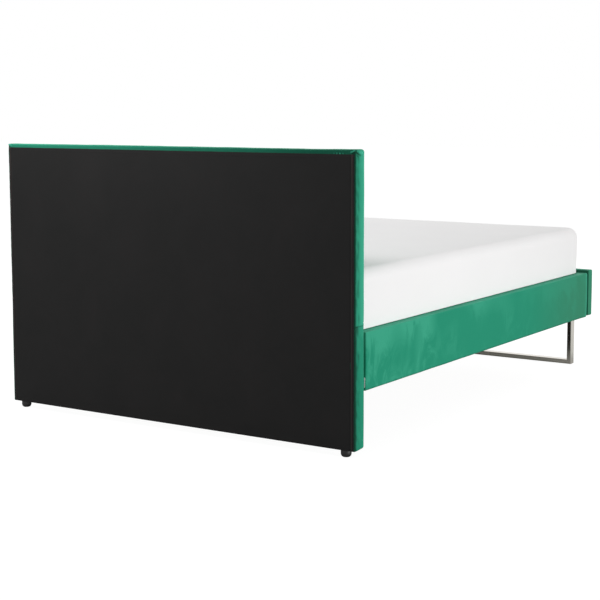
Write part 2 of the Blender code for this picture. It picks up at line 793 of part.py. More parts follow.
def mattress_cage(inset, bottom, closed):
    """A coarse cage, smaller than the mattress by the inset. Its top rises to a crown, and above the
    rails its sides swell out over them."""
    half_x = MATTRESS_WIDTH / 2 + MATTRESS_SIDE_SWELL - inset
    half_y = MATTRESS_LENGTH / 2 + MATTRESS_END_SWELL - inset
    top = MATTRESS_TOP - inset
    columns = [-half_x, MATTRESS_EDGE - half_x, -half_x / 2, 0, half_x / 2, half_x - MATTRESS_EDGE, half_x]
    rows = [-half_y, MATTRESS_EDGE - half_y, -half_y / 2, 0, half_y / 2, half_y - MATTRESS_EDGE, half_y]
    bm = bmesh.new()
    bmesh.ops.create_grid(bm, x_segments=len(columns) - 1, y_segments=len(rows) - 1, size=1.0)
    for vertex in bm.verts:
        column = round((vertex.co.x + 1) / 2 * (len(columns) - 1))
        row = round((vertex.co.y + 1) / 2 * (len(rows) - 1))
        x = columns[column]
        y = rows[row]
        fall = max(abs(x) / half_x, abs(y) / half_y) ** 3
        vertex.co = (x, y, top - MATTRESS_CROWN * fall)
    swell = Vector((MATTRESS_SIDE_SWELL / half_x, MATTRESS_END_SWELL / half_y, 0))
    levels = {
        top - MATTRESS_EDGE: 0,
        RAIL_TOP + MATTRESS_SIDE_SWELL + inset: 0,
        RAIL_TOP + MATTRESS_SIDE_SWELL / 2 + inset: 0,
        RAIL_TOP + inset: 1,
        bottom: 0,
    }
    for z, drawn_in in levels.items():
        rim = [edge for edge in bm.edges if edge.is_boundary]
        extruded = bmesh.ops.extrude_edge_only(bm, edges=rim)
        for element in extruded["geom"]:
            if isinstance(element, bmesh.types.BMVert):
                element.co -= element.co * swell * drawn_in
                element.co.z = z
    if closed:
        rim = [edge for edge in bm.edges if edge.is_boundary]
        base = bmesh.ops.contextual_create(bm, geom=rim)["faces"]
        bmesh.ops.inset_region(bm, faces=base, thickness=MATTRESS_EDGE, use_even_offset=True)
    bmesh.ops.recalc_face_normals(bm, faces=bm.faces)
    bmesh.ops.translate(bm, vec=(0, WELL_MIDDLE, 0), verts=bm.verts)
    return bm


def soften(obj):
    subdivision = obj.modifiers.new("Soft form", "SUBSURF")
    subdivision.levels = 1
    subdivision.render_levels = 1


def mattress():
    """A foam core in a zipped cover, whose base is a separate flat panel."""
    base_top = MATTRESS_BOTTOM + MATTRESS_COVER
    side_bottom = base_top + CLEARANCE
    name = "mattress_cover"
    cover = add_object(name, mesh_from(mattress_cage(0, side_bottom, False), name), "knit", BED)
    soften(cover)
    solidify = cover.modifiers.new("Knit", "SOLIDIFY")
    solidify.thickness = MATTRESS_COVER
    solidify.offset = -1
    solidify.use_even_offset = True
    inset = MATTRESS_COVER + 2 * CLEARANCE
    name = "mattress_core"
    core = add_object(name, mesh_from(mattress_cage(inset, side_bottom, True), name), "foam", BED)
    soften(core)
    outline = rounded_rectangle(MATTRESS_WIDTH, MATTRESS_LENGTH, MATTRESS_EDGE / 2, 3)
    base = add_object("mattress_base", prism_mesh([outline], MATTRESS_COVER), "knit", BED)
    base.location = (0, WELL_MIDDLE, (MATTRESS_BOTTOM + base_top) / 2)


# Corner brackets and bolts


def bracket(name, side, face, facing):
    """A steel angle upright in the corner between a rail and the headboard or footboard."""
    mesh = prism_mesh([angle_outline(BRACKET_LEG, BRACKET_WALL)], BRACKET_HEIGHT)
    obj = add_object(name, mesh, "zinc", BED)
    corner = Vector((side * (RAIL_INNER - CLEARANCE), face + facing * CLEARANCE, BRACKET_MIDDLE))
    place_on_axes(obj, corner, -side * X_AXIS, facing * Y_AXIS)
    x = side * (RAIL_INNER - CLEARANCE - BRACKET_WALL)
    y = face + facing * (CLEARANCE + BRACKET_HOLE)
    holes = [aimed(Vector((x, y, z)), side * X_AXIS) for z in SCREW_HEIGHTS]
    drill(obj, holes, BOLT_RADIUS, BRACKET_WALL * 2)
    return obj


def spacer_tab(side, angle):
    """A tab on a head bracket that fills the gap between the rail's end and the headboard."""
    x_range = sorted((side * (RAIL_INNER - BRACKET_WALL / 2), side * (RAIL_OUTER - TAB_SETBACK)))
    bottom = BRACKET_MIDDLE - BRACKET_HEIGHT / 2 + TAB_RISE
    tab = block(
        angle.name + "_tab",
        (x_range[0], RAIL_HEAD_END + CLEARANCE, bottom),
        (x_range[1], HEAD_FACE - 2 * CLEARANCE, bottom + TAB_HEIGHT),
        "zinc",
    )
    joined(angle, tab)


def bolt(name, place, length):
    """A domed head behind the place and a shank along its Z axis, with a short taper at the tip."""
    profile = [
        (0, length),
        (BOLT_RADIUS * 0.4, length),
        (BOLT_RADIUS, length - BOLT_TIP),
        (BOLT_RADIUS, 0),
        (BOLT_HEAD_RADIUS, 0),
        (BOLT_HEAD_RADIUS, -BOLT_HEAD_HEIGHT * 0.5),
        (BOLT_HEAD_RADIUS * 0.7, -BOLT_HEAD_HEIGHT),
        (0, -BOLT_HEAD_HEIGHT),
    ]
    obj = turned(name, profile, "zinc", FASTENER_SIDES)
    obj.matrix_world = place


def corner_fixings(end_name, face, facing, length, layers):
    """The brackets at one end, each bolted through the layers of the headboard or footboard."""
    places = []
    for side_name, side in SIDES.items():
        angle = bracket(f"corner_bracket_{end_name}_{side_name}", side, face, facing)
        if end_name == "head":
            spacer_tab(side, angle)
        x = side * (RAIL_INNER - CLEARANCE - BRACKET_HOLE)
        y = face + facing * (2 * CLEARANCE + BRACKET_WALL)
        place = aimed(Vector((x, y, BRACKET_MIDDLE)), -facing * Y_AXIS)
        drill(angle, [place], BOLT_RADIUS, BRACKET_WALL * 2)
        bolt(f"corner_bolt_{end_name}_{side_name}", place, length)
        places.append(place)
    for layer in layers:
        drill(layer, places, BOLT_RADIUS, length + 2 * CLEARANCE)


def build_bed():
    stile_left, stile_right = headboard_frame()
    panel, foam = headboard_padding()
    head_cover = headboard_covers()
    glides()
    for side_name, side in SIDES.items():
        side_rail(side_name, side)
        ledge(side_name, side)
        batten(side_name, side)
    foot_board, foot_cover = footboard()
    sled_leg()
    slats()
    centre_beam()
    hanger("beam_hanger_head", HEAD_FACE, -1)
    hanger("beam_hanger_foot", FOOT_FACE, 1)
    centre_leg()
    levelling_foot()
    mattress()
    for piece in (stile_left, stile_right, head_cover):
        drill(piece, glide_places(), GLIDE_STEM_RADIUS, GLIDE_STEM + 2 * CLEARANCE)
    head_layers = (stile_left, stile_right, panel, foam, head_cover)
    corner_fixings("head", HEAD_FACE, -1, LONG_BOLT, head_layers)
    corner_fixings("foot", FOOT_FACE, 1, SHORT_BOLT, (foot_board, foot_cover))


clear_scene()
BED = new_collection("upholstered_bed")
CUTTERS = new_collection("cutters")
build_bed()
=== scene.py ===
"""Looks of an upholstered bed: velvet over padded boards, a brushed steel sled leg and a foam mattress.

Metres, +Z up. X runs across the bed and the headboard stands at +Y. Soft pieces are new surfaces in
the places of their solids, and rigid solids keep their shape and get a finish.
"""

import math

import bpy
import numpy as np
from mathutils import Matrix, Vector


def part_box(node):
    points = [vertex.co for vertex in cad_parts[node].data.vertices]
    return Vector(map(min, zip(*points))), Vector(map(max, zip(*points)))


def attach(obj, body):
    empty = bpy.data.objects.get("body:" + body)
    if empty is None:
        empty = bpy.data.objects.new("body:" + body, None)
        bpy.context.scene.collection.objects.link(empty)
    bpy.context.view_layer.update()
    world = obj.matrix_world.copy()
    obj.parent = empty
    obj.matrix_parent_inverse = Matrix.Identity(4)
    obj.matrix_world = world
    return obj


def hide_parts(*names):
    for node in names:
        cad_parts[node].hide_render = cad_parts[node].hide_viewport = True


SIDES = {"left": -1, "right": 1}

CAMERA_PLACE = (-3.2263, 5.1353, 1.2163)
CAMERA_HEADING = math.radians(-146.935)
CAMERA_DIP = math.radians(6.497)
CAMERA_ROLL = math.radians(-0.109)
CAMERA_LENS = 84.487
CAMERA_SHIFT = -0.0603

VELVET_BACK_RADIUS = 0.004
VELVET_FRONT_RADIUS = 0.010
SEAM_RISE = 0.026
HEM_SETBACK = 0.0008
CLOTH_THICKNESS = 0.0006

# Steel of 3 mm and the clearance behind it, and where the screws go through the brackets and hangers
STEEL_WALL = 0.0033
BRACKET_SCREW_REACH = 0.0363
BRACKET_SCREW_RISE = 0.030
HANGER_SCREW_INSET = 0.014

FLOOR_REACH = 30
FLOOR_DROP = 0.0005
SKY_LEVEL = 0.425
SENSOR_WIDTH = 36.0

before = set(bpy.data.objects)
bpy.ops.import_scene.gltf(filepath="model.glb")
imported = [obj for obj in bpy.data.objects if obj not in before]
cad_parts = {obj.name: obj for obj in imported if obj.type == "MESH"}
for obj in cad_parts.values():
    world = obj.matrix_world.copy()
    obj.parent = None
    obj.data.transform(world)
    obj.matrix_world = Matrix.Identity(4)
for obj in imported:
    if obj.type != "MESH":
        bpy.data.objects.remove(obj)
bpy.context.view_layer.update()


def add_to_scene(name, data):
    """A new object in the scene that holds the mesh, light or camera given."""
    thing = bpy.data.objects.new(name, data)
    bpy.context.scene.collection.objects.link(thing)
    return thing


# Shader tools


def linear(colour):
    """A hex sRGB colour as linear light: a straight line near black and a 2.4 power above it."""
    channels = [int(colour[index : index + 2], 16) / 255 for index in (1, 3, 5)]
    return [c / 12.92 if c <= 0.04045 else ((c + 0.055) / 1.055) ** 2.4 for c in channels] + [1.0]


def plug(node, values):
    """Set each socket to its value, or link it to the socket given."""
    for socket, value in values.items():
        if isinstance(value, bpy.types.NodeSocket):
            node.id_data.links.new(value, node.inputs[socket])
        else:
            node.inputs[socket].default_value = value


def add_node(tree, kind, values, output=0, **settings):
    """Add one shader node with its settings and links, and give back one of its outputs."""
    node = tree.nodes.new("ShaderNode" + kind)
    for name, value in settings.items():
        setattr(node, name, value)
    plug(node, values)
    return node.outputs[output]


def new_material(name):
    """A Principled material, with its tree, its shader and its object coordinates."""
    material = bpy.data.materials.new(name)
    material.use_nodes = True
    tree = material.node_tree
    return material, tree, tree.nodes["Principled BSDF"], add_node(tree, "TexCoord", {}, "Object")


# Finishes


def cut_velvet(name, shift, stroked_from, stroked_to, stroke_at, least=0.3):
    """Polyester velvet, woven double, cut and brushed. Its pile is deep where you look into it and pale
    at a grazing angle. Where a hand stroked it the other way it lies in lighter patches, most of all
    between two places along the bed, and in one long stroke."""
    material, tree, shader, place = new_material(name)
    moved = add_node(tree, "Mapping", {"Vector": place, "Location": shift})
    # Strokes of a palm, about 90 mm wide and 140 mm tall
    tall = add_node(tree, "Mapping", {"Vector": moved, "Scale": (11, 11, 7)})
    strokes = add_node(
        tree, "TexNoise", {"Vector": tall, "Scale": 1.0, "Detail": 5.0, "Roughness": 0.65, "Distortion": 1.2}
    )
    along = add_node(tree, "SeparateXYZ", {"Vector": place}, "Y")
    rise = add_node(tree, "SeparateXYZ", {"Vector": place}, "Z")
    # The lighter strokes thicken toward the upper edge, between 0.34 m and 0.43 m up
    upper = add_node(tree, "MapRange", {"Value": rise, "From Min": 0.34, "From Max": 0.43, "To Max": 0.2})
    strokes = add_node(tree, "Math", {0: strokes, 1: upper}, operation="ADD")
    strokes = add_node(
        tree,
        "MapRange",
        {"Value": strokes, "From Min": 0.42, "From Max": 0.64},
        interpolation_type="SMOOTHSTEP",
    )
    # Where they gather, in regions 0.35 m across
    regions = add_node(tree, "TexNoise", {"Vector": moved, "Scale": 2.9, "Detail": 1.0})
    regions = add_node(tree, "MapRange", {"Value": regions, "From Min": 0.32, "From Max": 0.5})
    reach = add_node(
        tree,
        "MapRange",
        {"Value": along, "From Min": stroked_from, "From Max": stroked_to, "To Min": least},
        interpolation_type="SMOOTHSTEP",
    )
    patches = add_node(tree, "Math", {0: strokes, 1: regions}, operation="MULTIPLY")
    patches = add_node(tree, "Math", {0: patches, 1: reach}, operation="MULTIPLY")
    # One long upward stroke, leaning to the foot, that fades out over 70 mm below and 200 mm above, and
    # is frayed by the noise
    leaning = add_node(tree, "Math", {0: rise, 1: 0.22, 2: along}, operation="MULTIPLY_ADD")
    off = add_node(tree, "Math", {0: leaning, 1: stroke_at}, operation="SUBTRACT")
    off = add_node(tree, "Math", {0: off}, operation="ABSOLUTE")
    widest = add_node(
        tree,
        "MapRange",
        {"Value": rise, "From Min": 0.25, "From Max": 0.43, "To Min": 0.035, "To Max": 0.1},
    )
    frayed = add_node(tree, "MapRange", {"Value": strokes, "To Min": -0.03, "To Max": 0.012})
    streak = add_node(
        tree,
        "MapRange",
        {"Value": off, "From Min": frayed, "From Max": widest, "To Min": 0.8, "To Max": 0.0},
        interpolation_type="SMOOTHSTEP",
    )
    patches = add_node(tree, "Math", {0: patches, 1: streak}, operation="MAXIMUM")
    # Toward the foot, from 0.3 m to 1.0 m past the middle, the colour turns duller and greyer
    toward_foot = add_node(
        tree,
        "MapRange",
        {"Value": along, "From Min": -0.3, "From Max": -1.0},
        interpolation_type="SMOOTHSTEP",
    )
    lay = add_node(
        tree, "Mix", {0: toward_foot, 6: linear("#209071"), 7: linear("#368768")}, 2, data_type="RGBA"
    )
    # Tufts are under 1 mm, drawn 6 mm across so that they show
    tufts = add_node(tree, "TexNoise", {"Vector": place, "Scale": 160.0, "Detail": 3.0, "Roughness": 0.6})
    dark = add_node(tree, "Mix", {0: 0.16, 6: lay, 7: linear("#14694F")}, 2, data_type="RGBA")
    colour = add_node(tree, "Mix", {0: tufts, 6: lay, 7: dark}, 2, data_type="RGBA")
    colour = add_node(tree, "Mix", {0: patches, 6: colour, 7: linear("#38A182")}, 2, data_type="RGBA")
    # Painted highlight along edges, fold ridges and top faces, where the cloth pulled over an edge also
    # raises the pile's pale tips
    raised_and_lit = add_node(tree, "Attribute", {}, "Fac", attribute_name="raised_pile_and_highlight")
    colour = add_node(tree, "Mix", {0: raised_and_lit, 6: colour, 7: linear("#45B596")}, 2, data_type="RGBA")
    # Painted shade in creases, gaps, undersides and along back edges, where the pile also opens over an edge
    # and shows its dark depth
    opened_and_shaded = add_node(tree, "Attribute", {}, "Fac", attribute_name="opened_pile_and_shade")
    colour = add_node(tree, "Mix", {0: opened_and_shaded, 6: colour, 7: linear("#06402E")}, 2, data_type="RGBA")
    pile = add_node(tree, "TexNoise", {"Vector": place, "Scale": 420.0, "Detail": 2.0})
    bump = add_node(tree, "Bump", {"Height": pile, "Distance": 0.0004, "Strength": 0.6})
    plug(
        shader,
        {
            "Base Color": colour,
            "Normal": bump,
            "Roughness": 0.92,
            "Specular IOR Level": 0.15,
            "Sheen Weight": 0.35,
            "Sheen Roughness": 0.4,
            "Sheen Tint": linear("#8FD6BC"),
        },
    )
    return material


def spunbond_cloth():
    """Spunbond polypropylene, laid down hot and point bonded: matt, nearly black and faintly clouded."""
    material, tree, shader, place = new_material("spunbond_polypropylene")
    # The fibres lie thicker and thinner in clouds about 0.2 m across
    clouds = add_node(
        tree, "TexNoise", {"Vector": place, "Scale": 5.0, "Detail": 5.0, "Roughness": 0.6, "Distortion": 0.4}
    )
    clouds = add_node(tree, "MapRange", {"Value": clouds, "From Min": 0.3, "From Max": 0.7})
    black = add_node(
        tree, "Mix", {0: clouds, 6: linear("#1D1D1D"), 7: linear("#222121")}, 2, data_type="RGBA"
    )
    # A pale brownish line runs along the hem's ridge
    ridge_line = add_node(tree, "Attribute", {}, "Fac", attribute_name="hem_ridge_line")
    colour = add_node(tree, "Mix", {0: ridge_line, 6: black, 7: linear("#443A36")}, 2, data_type="RGBA")
    # Bonding points are 1 mm apart, drawn 3 mm apart so that they show
    points = add_node(tree, "TexVoronoi", {"Vector": place, "Scale": 330.0, "Randomness": 0.3}, "Distance")
    bump = add_node(tree, "Bump", {"Height": points, "Distance": 0.0002, "Strength": 0.5})
    plug(
        shader,
        {
            "Base Color": colour,
            "Normal": bump,
            "Roughness": 0.85,
            "Specular IOR Level": 0.2,
            "Sheen Weight": 0.05,
        },
    )
    return material


def knitted_jersey():
    """Polyester jersey, knitted and bleached: soft, matt, nearly white, with fine rows and faint folds."""
    material, tree, shader, place = new_material("knitted_jersey")
    shades = add_node(tree, "TexNoise", {"Vector": place, "Scale": 3.0, "Detail": 3.0})
    colour = add_node(
        tree, "Mix", {0: shades, 6: linear("#F4F3F3"), 7: linear("#F8F7F7")}, 2, data_type="RGBA"
    )
    # Rows are 1.5 mm apart, drawn 11 mm apart so that they show
    rows = add_node(
        tree,
        "TexWave",
        {"Vector": place, "Scale": 40.0, "Distortion": 2.0, "Detail": 2.0, "Detail Scale": 3.0},
        "Fac",
        bands_direction="DIAGONAL",
    )
    rows = add_node(tree, "Bump", {"Height": rows, "Distance": 0.00015, "Strength": 0.5})
    # Slack in the cloth, in waves 90 mm long
    slack = add_node(tree, "TexNoise", {"Vector": place, "Scale": 11.0, "Detail": 2.0})
    bump = add_node(tree, "Bump", {"Height": slack, "Distance": 0.002, "Strength": 0.35, "Normal": rows})
    plug(
        shader,
        {
            "Base Color": colour,
            "Normal": bump,
            "Roughness": 0.92,
            "Specular IOR Level": 0.15,
            "Sheen Weight": 0.05,
        },
    )
    return material


def brushed_steel(name, stretch):
    """Stainless steel tube, belt-brushed along its length with a 180 grit: a soft satin with fine lines,
    darker and duller in the lines that cut deeper."""
    material, tree, shader, place = new_material(name)
    # Lines are 0.1 mm wide, drawn 1 mm wide so that they show
    drawn = add_node(tree, "Mapping", {"Vector": place, "Scale": stretch})
    lines = add_node(tree, "TexNoise", {"Vector": drawn, "Scale": 1000.0, "Detail": 3.0, "Roughness": 0.6})
    colour = add_node(
        tree, "Mix", {0: lines, 6: linear("#CCC8BE"), 7: linear("#E2DED5")}, 2, data_type="RGBA"
    )
    dullness = add_node(tree, "MapRange", {"Value": lines, "To Min": 0.05, "To Max": 0.12})
    bump = add_node(tree, "Bump", {"Height": lines, "Distance": 0.00003, "Strength": 0.5})
    plug(shader, {"Base Color": colour, "Roughness": dullness, "Normal": bump, "Metallic": 1.0})
    return material


def zinc_plate():
    """Mild steel, electroplated with zinc and passivated: cool grey, in bright and dull grains."""
    material, tree, shader, place = new_material("zinc_plated_steel")
    grains = add_node(tree, "TexVoronoi", {"Vector": place, "Scale": 180.0}, "Color")
    colour = add_node(
        tree, "Mix", {0: grains, 6: linear("#B4B6B4"), 7: linear("#CFCFCB")}, 2, data_type="RGBA"
    )
    dullness = add_node(tree, "MapRange", {"Value": grains, "To Min": 0.34, "To Max": 0.5})
    plug(shader, {"Base Color": colour, "Roughness": dullness, "Metallic": 1.0})
    return material


def powder_coat():
    """Mild steel with black polyester powder baked on: satin, with an orange-peel ripple 2 mm across."""
    material, tree, shader, place = new_material("black_powder_coat")
    peel = add_node(tree, "TexNoise", {"Vector": place, "Scale": 450.0, "Detail": 1.0})
    colour = add_node(
        tree, "Mix", {0: peel, 6: linear("#17181A"), 7: linear("#202123")}, 2, data_type="RGBA"
    )
    bump = add_node(tree, "Bump", {"Height": peel, "Distance": 0.0001, "Strength": 0.6})
    plug(shader, {"Base Color": colour, "Normal": bump, "Roughness": 0.45})
    return material


def moulded_plastic():
    """Black polypropylene, moulded in an eroded tool: a fine matt grain, about 1 mm, paler where rubbed."""
    material, tree, shader, place = new_material("moulded_polypropylene")
    grain = add_node(tree, "TexNoise", {"Vector": place, "Scale": 900.0, "Detail": 2.0})
    scuffs = add_node(tree, "TexNoise", {"Vector": place, "Scale": 60.0, "Detail": 4.0, "Roughness": 0.7})
    scuffs = add_node(
        tree, "MapRange", {"Value": scuffs, "From Min": 0.52, "From Max": 0.75, "To Max": 0.6}
    )
    colour = add_node(
        tree, "Mix", {0: scuffs, 6: linear("#101010"), 7: linear("#1C1C1C")}, 2, data_type="RGBA"
    )
    dullness = add_node(tree, "MapRange", {"Value": grain, "To Min": 0.4, "To Max": 0.6})
    bump = add_node(tree, "Bump", {"Height": grain, "Distance": 0.00005, "Strength": 0.6})
    plug(shader, {"Base Color": colour, "Normal": bump, "Roughness": dullness})
    return material


def planed_wood(name, stretch, pale, dark):
    """Wood, sawn and planed: year rings drawn out along the grain, and fine pores between them."""
    material, tree, shader, place = new_material(name)
    grain = add_node(tree, "Mapping", {"Vector": place, "Scale": stretch})
    # Year rings are about 5 mm apart where the saw cut across them, drawn 9 mm apart
    rings = add_node(tree, "TexNoise", {"Vector": grain, "Scale": 110.0, "Detail": 2.0, "Distortion": 0.5})
    rings = add_node(
        tree,
        "MapRange",
        {"Value": rings, "From Min": 0.42, "From Max": 0.62},
        interpolation_type="SMOOTHSTEP",
    )
    # Pores are 0.1 mm wide, drawn 1 mm wide so that they show
    pores = add_node(tree, "TexNoise", {"Vector": grain, "Scale": 900.0, "Detail": 3.0, "Roughness": 0.6})
    colour = add_node(tree, "Mix", {0: rings, 6: linear(pale), 7: linear(dark)}, 2, data_type="RGBA")
    shade = add_node(tree, "MapRange", {"Value": pores, "From Min": 0.5, "From Max": 0.8, "To Max": 0.5})
    colour = add_node(tree, "Mix", {0: shade, 6: colour, 7: linear(dark)}, 2, data_type="RGBA")
    dullness = add_node(tree, "MapRange", {"Value": pores, "To Min": 0.5, "To Max": 0.7})
    bump = add_node(tree, "Bump", {"Height": pores, "Distance": 0.0001, "Strength": 0.5})
    plug(shader, {"Base Color": colour, "Normal": bump, "Roughness": dullness})
    return material


# Surface tools


def new_piece(name, points, faces, material, body, attributes=None):
    """A smooth mesh piece that rides on a body, has the finish given and may carry attributes."""
    mesh = bpy.data.meshes.new(name)
    mesh.from_pydata(points.tolist(), [], faces)
    mesh.polygons.foreach_set("use_smooth", np.ones(len(faces), bool))
    mesh.materials.append(material)
    for key, values in (attributes or {}).items():
        mesh.attributes.new(key, "FLOAT", "POINT").data.foreach_set("value", np.clip(values, 0, 1))
    mesh.update()
    piece = add_to_scene(name, mesh)
    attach(piece, body)
    return piece


def grid_quads(numbers):
    """Quads between the neighbours in a two-way table of point numbers."""
    corners = (numbers[:-1, :-1], numbers[1:, :-1], numbers[1:, 1:], numbers[:-1, 1:])
    return np.stack(corners, -1).reshape(-1, 4)


def lattice_skin(x_rows, y_rows, z_rows):
    """The outer points of a box lattice, and the quads that close it.

    A point is any mix of the three rows that holds the lowest or highest value of at least one."""
    shape = (len(x_rows), len(y_rows), len(z_rows))
    outer = np.ones(shape, bool)
    outer[1:-1, 1:-1, 1:-1] = False
    numbers = np.full(shape, -1)
    numbers[outer] = np.arange(outer.sum())
    points = np.stack(np.meshgrid(x_rows, y_rows, z_rows, indexing="ij"), -1)[outer]
    sheets = [
        numbers[-1],
        numbers[0].T,
        numbers[:, 0],
        numbers[:, -1].T,
        numbers[:, :, -1],
        numbers[:, :, 0].T,
    ]
    return points, np.concatenate([grid_quads(sheet) for sheet in sheets])


def rows_between(low, high, radius, step, extra=()):
    """Rows from low to high, a step apart, with those inside the radius at even angles round it."""
    turns = radius * (1 - np.tan(np.linspace(math.pi / 4, 0, 9)))
    middle = np.linspace(low + radius, high - radius, max(2, round((high - low - 2 * radius) / step)))
    rows = np.unique(np.round(np.concatenate([low + turns, middle, high - turns, extra]), 6))
    return rows[np.concatenate([[True], np.diff(rows) > 0.0001])]


def unit(vectors):
    """The vectors, each over its own length."""
    return vectors / np.linalg.norm(vectors, axis=1, keepdims=True)


def round_box(points, low, high, radii):
    """Round a box: each point moves onto an ellipsoid of the three radii about its nearest point of the
    box shrunk by them. Also gives the outward direction there."""
    core = np.clip(points, low + radii, high - radii)
    turn = unit((points - core) / radii)
    return core + turn * radii, unit(turn / radii)


def hump(distance, width):
    """A bell curve of height one: e to the minus square of the distance over the width."""
    return np.exp(-((distance / width) ** 2))


def to_segment(points, start, end):
    """How far each point is from the straight line between start and end."""
    along = np.array(end) - start
    share = np.clip((points - start) @ along / (along @ along), 0, 1)
    return np.linalg.norm(points - start - share[:, None] * along, axis=1)


def ripple(points, size, seed):
    """Soft unevenness, about -1 to 1: a sum of sines of the point along six seeded directions."""
    spin = np.random.default_rng(seed)
    directions = spin.normal(size=(6, 3))
    directions /= np.linalg.norm(directions, axis=1, keepdims=True)
    lengths = size * spin.uniform(0.6, 1.8, 6)
    turns = spin.uniform(0, math.tau, 6)
    return np.sin(points @ directions.T * math.tau / lengths + turns).sum(1) / 3


def turned_part(name, profile, places, material, body, sides=32, six_sided=()):
    """A profile of (radius, height) pairs from bottom to top, turned about an axis: each point is radius
    times the cosine and sine of the angle, at the height. Six-sided rings reach out to a hexagon of that
    half width."""
    angles = np.linspace(0, math.tau, sides, endpoint=False)
    rings = np.array(profile)
    radii = np.repeat(rings[:, :1], sides, 1)
    radii[list(six_sided)] /= np.cos((angles + math.pi / 6) % (math.pi / 3) - math.pi / 6)
    heights = np.repeat(rings[:, 1:], sides, 1)
    ring_points = np.stack([radii * np.cos(angles), radii * np.sin(angles), heights], -1)
    poles = [[0, 0, rings[0, 1]], [0, 0, rings[-1, 1]]]
    local = np.concatenate([ring_points.reshape(-1, 3), poles])
    count = len(rings) * sides
    numbers = np.arange(count).reshape(len(rings), sides)
    around = np.concatenate([numbers, numbers[:, :1]], 1)
    bottom = np.stack([np.full(sides, count), around[0, 1:], around[0, :-1]], 1)
    top = np.stack([np.full(sides, count + 1), around[-1, :-1], around[-1, 1:]], 1)
    walls = grid_quads(around.T)
    points = []
    faces = []
    for index, place in enumerate(places):
        points.append(local @ np.array(place.to_3x3()).T + np.array(place.translation))
        offset = index * len(local)
        faces += (walls + offset).tolist() + (bottom + offset).tolist() + (top + offset).tolist()
    piece = new_piece(name, np.concatenate(points), faces, material, body)
    piece.data.set_sharp_from_angle(angle=math.radians(35))
    return piece


def aimed(point, direction):
    """A place at the point whose Z axis points along the direction."""
    return Matrix.Translation(point) @ Vector(direction).to_track_quat("Z", "Y").to_matrix().to_4x4()


# Upholstery


